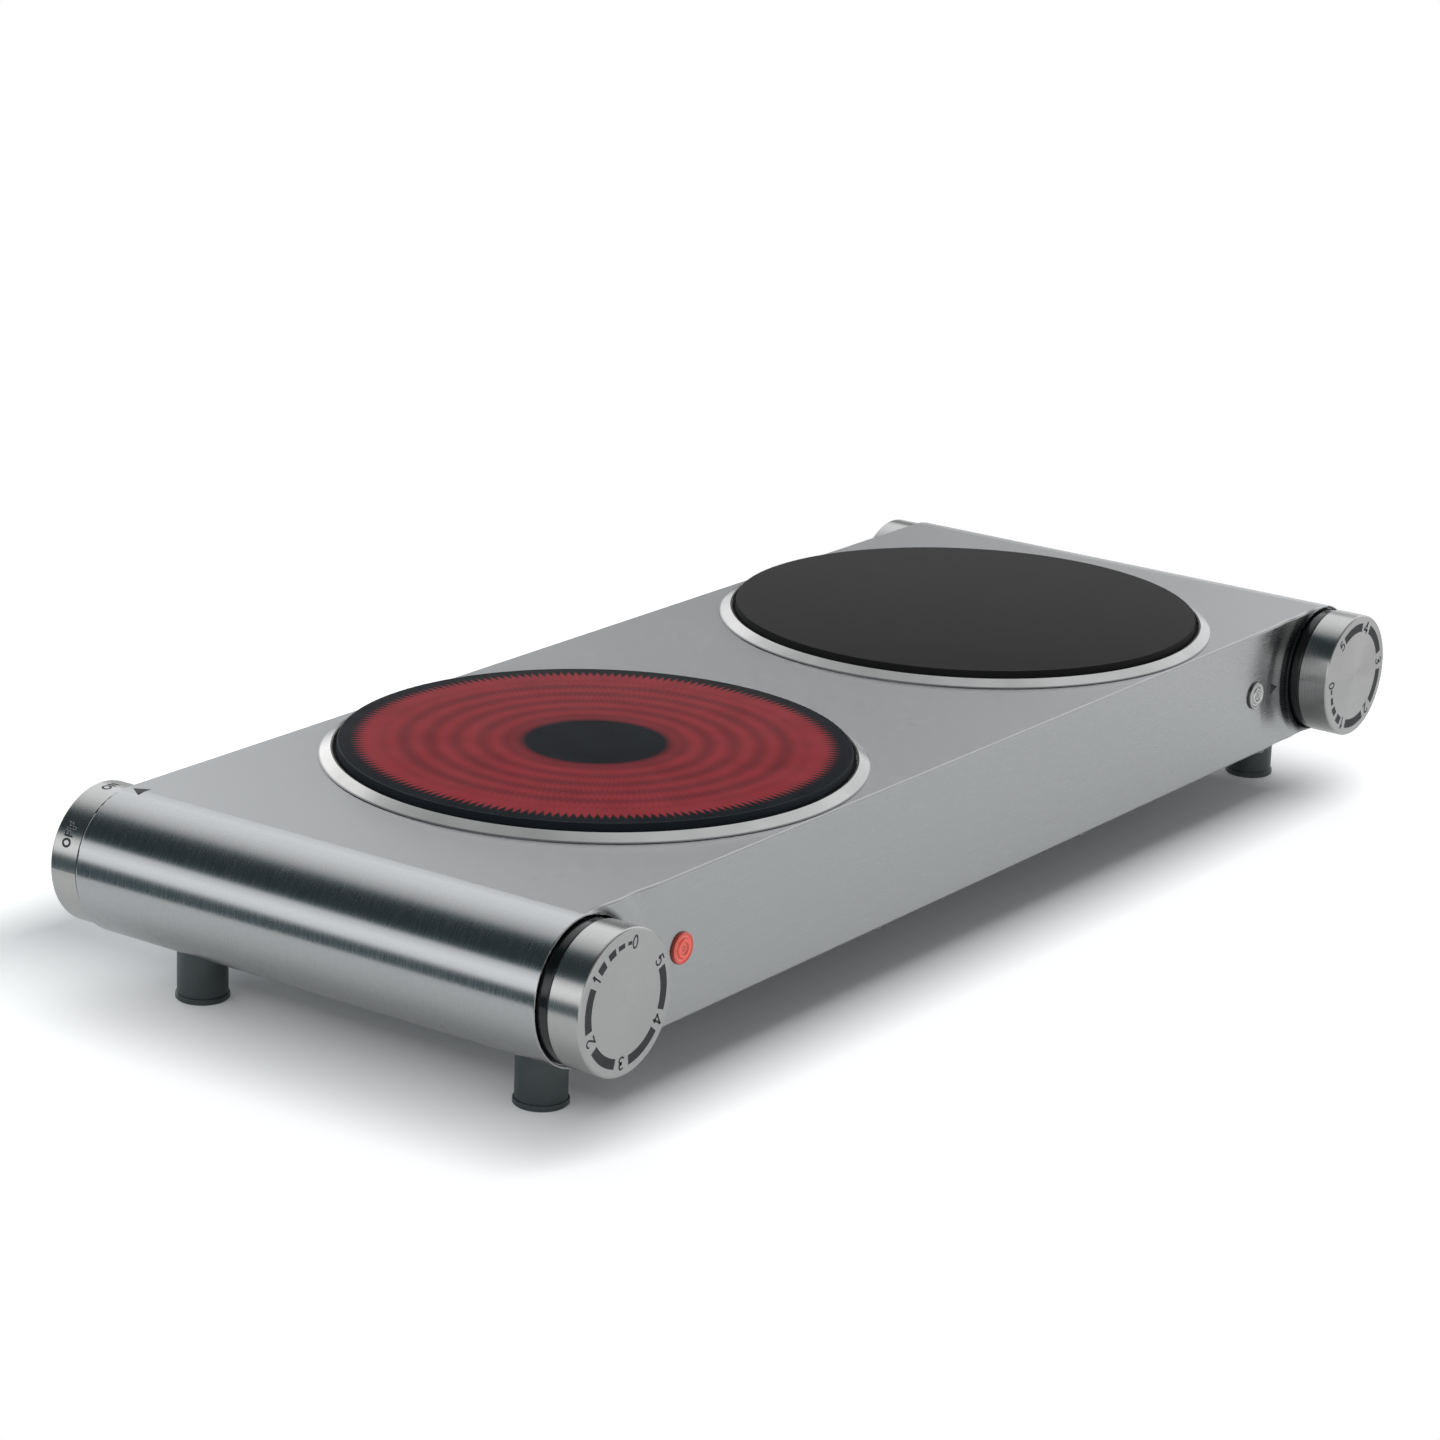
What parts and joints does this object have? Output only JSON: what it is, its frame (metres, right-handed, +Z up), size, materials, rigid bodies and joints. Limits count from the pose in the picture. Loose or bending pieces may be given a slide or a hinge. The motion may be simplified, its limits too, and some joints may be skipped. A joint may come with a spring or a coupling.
{
  "type": "double hot plate",
  "caption": "Portable double hot plate with round ceramic-glass heating discs in polished rings, a flat steel body with rolled ends, turning knobs and rubber feet.",
  "frame": {"origin": "on the table, midway along the overall length and depth, knobs included", "axes": "+X along the long side to the right as seen by the user, +Y from the front panel to the rear, +Z up"},
  "size_m": [0.534, 0.2224, 0.0767],
  "materials": {
    "brushed_steel": "brushed",
    "knob_steel": "brushed",
    "polished_ring": "polished",
    "ceramic_glass": "opaque black ceramic glass",
    "galvanised_steel": "galvanised",
    "zinc_fastener": "zinc plated",
    "black_rubber": "matte",
    "gloss_black": "gloss",
    "black_plastic": "matte",
    "heat_seal": "matte",
    "insulation": "fibrous",
    "ribbon": "oxidised resistance ribbon",
    "ceramic": "unglazed ceramic",
    "lens_left": "clear red, lit",
    "lens_right": "clear",
    "wire_jacket": "silicone"
  },
  "bodies": {
    "base": {"top_housing": "brushed_steel", "base_plate": "galvanised_steel", "base_screws": "zinc_fastener", "foot_screws": "zinc_fastener", "support_screws": "zinc_fastener", "bracket_screws": "zinc_fastener", "neck_nuts": "zinc_fastener", "foot_front_left": "black_rubber", "foot_front_right": "black_rubber", "foot_rear_left": "black_rubber", "foot_rear_right": "black_rubber", "left_trim_ring": "polished_ring", "right_trim_ring": "polished_ring", "left_glass": "ceramic_glass", "right_glass": "ceramic_glass", "left_gasket": "heat_seal", "right_gasket": "heat_seal", "left_heater_pan": "galvanised_steel", "right_heater_pan": "galvanised_steel", "left_insulation": "insulation", "right_insulation": "insulation", "left_element": "ribbon", "right_element": "ribbon", "left_limiter": "ceramic", "right_limiter": "ceramic", "left_heater_support": "galvanised_steel", "right_heater_support": "galvanised_steel", "left_heat_shield": "galvanised_steel", "right_heat_shield": "galvanised_steel", "front_left_regulator": "black_plastic", "front_right_regulator": "black_plastic", "rear_left_switch": "black_plastic", "front_left_bracket": "galvanised_steel", "front_right_bracket": "galvanised_steel", "rear_right_cap": "knob_steel", "rear_right_plug": "black_plastic", "front_left_bezel": "gloss_black", "front_right_bezel": "gloss_black", "left_lens": "lens_left", "right_lens": "lens_right", "left_lamp": "black_plastic", "right_lamp": "black_plastic", "terminal_block": "ceramic", "cord_gland": "black_plastic", "gland_nut": "black_plastic", "wire_supply": "wire_jacket", "wire_left": "wire_jacket", "wire_right": "wire_jacket"},
    "front_left_knob": {"front_left_knob_cap": "knob_steel", "front_left_hub": "black_plastic", "front_left_shaft": "zinc_fastener"},
    "front_right_knob": {"front_right_knob_cap": "knob_steel", "front_right_hub": "black_plastic", "front_right_shaft": "zinc_fastener"},
    "rear_left_knob": {"rear_left_knob_cap": "knob_steel", "rear_left_hub": "black_plastic", "rear_left_shaft": "zinc_fastener"}
  },
  "joints": [
    {"name": "front_left_turn", "type": "hinge", "parent": "base", "child": "front_left_knob", "pos_m": [-0.24175, -0.1, 0.04625], "axis": [0, 1, 0], "range_deg": [-280, 31]},
    {"name": "front_right_turn", "type": "hinge", "parent": "base", "child": "front_right_knob", "pos_m": [0.24175, -0.1, 0.04625], "axis": [0, 1, 0], "range_deg": [0, 311]},
    {"name": "rear_left_turn", "type": "hinge", "parent": "base", "child": "rear_left_knob", "pos_m": [-0.24175, 0.1, 0.04625], "axis": [0, 1, 0], "range_deg": [0, 60]}
  ]
}
